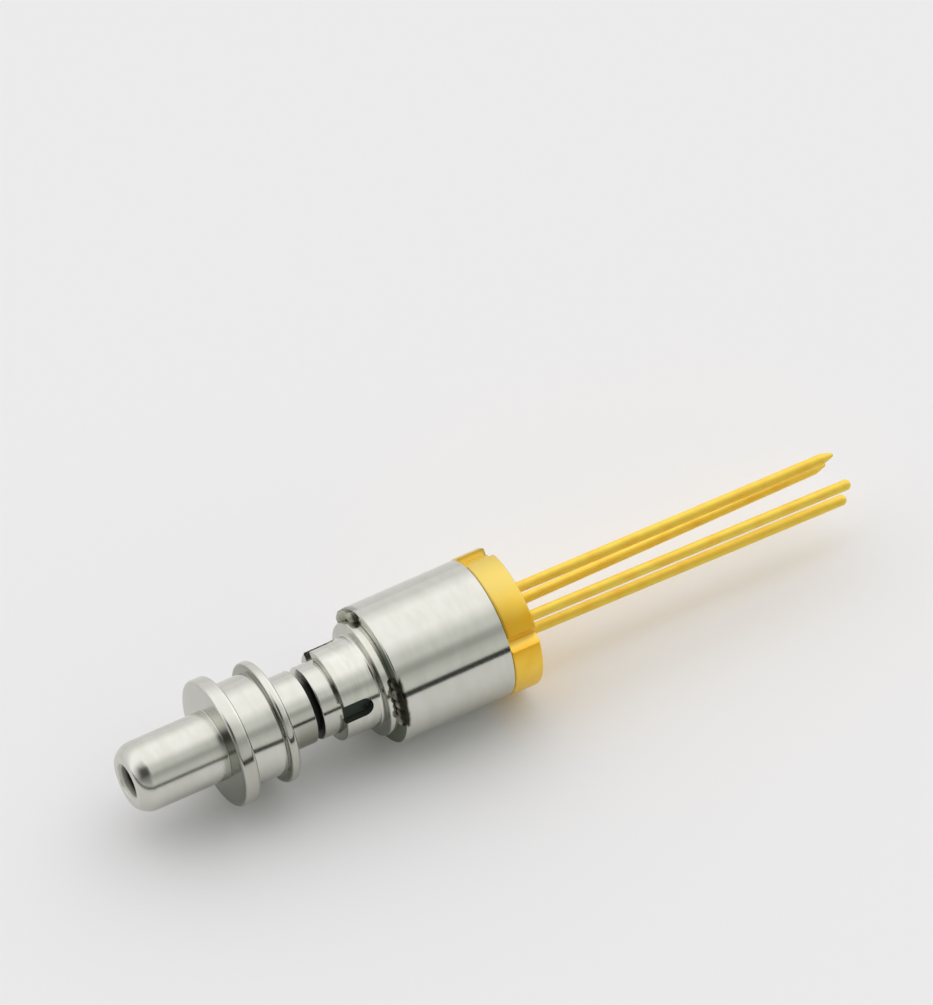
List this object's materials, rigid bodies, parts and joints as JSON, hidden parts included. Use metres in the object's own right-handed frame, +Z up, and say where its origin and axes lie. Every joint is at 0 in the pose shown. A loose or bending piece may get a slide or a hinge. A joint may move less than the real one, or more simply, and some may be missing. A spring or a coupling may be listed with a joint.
{
  "type": "transmit optical subassembly",
  "caption": "Turned steel light port with a flanged ferrule nose, a slotted weld sleeve and a plain barrel, closed by a notched gold plated header with long leads.",
  "frame": {"origin": "centre of the front flange's front face, on the light axis", "axes": "+X along the light axis from the nose to the leads, +Z up, +Y to the left when looking along +X"},
  "size_m": [0.0307, 0.0056, 0.0056],
  "materials": {
    "turned_steel": "bright turned stainless steel",
    "zirconia": "ground white zirconia",
    "silica": "polished silica",
    "weld_metal": "burnt, lumpy laser weld",
    "can_steel": "drawn, nickel plated",
    "lens_glass": "polished",
    "frit_glass": "fused frit",
    "gold_plate": "satin gold plating",
    "bead_glass": "fused dark sealing glass",
    "ceramic_tile": "lapped ceramic with metal pads",
    "laser_die": "cleaved die with a gold pad",
    "diode_die": "polished die with a dark window",
    "bond_gold": "drawn gold wire"
  },
  "bodies": {
    "root": {"receptacle_shell": "turned_steel", "split_sleeve": "zirconia", "fibre_stub": "zirconia", "fibre": "silica", "stub_holder": "turned_steel", "weld_sleeve": "turned_steel", "laser_holder": "turned_steel", "holder_welds": "weld_metal", "cap": "can_steel", "cap_lens": "lens_glass", "lens_seal": "frit_glass", "header": "gold_plate", "seal_1": "bead_glass", "seal_2": "bead_glass", "seal_3": "bead_glass", "lead_1": "gold_plate", "lead_2": "gold_plate", "lead_3": "gold_plate", "case_lead": "gold_plate", "submount": "ceramic_tile", "laser_chip": "laser_die", "monitor_carrier": "ceramic_tile", "monitor_diode": "diode_die", "bond_wires": "bond_gold"}
  },
  "joints": []
}
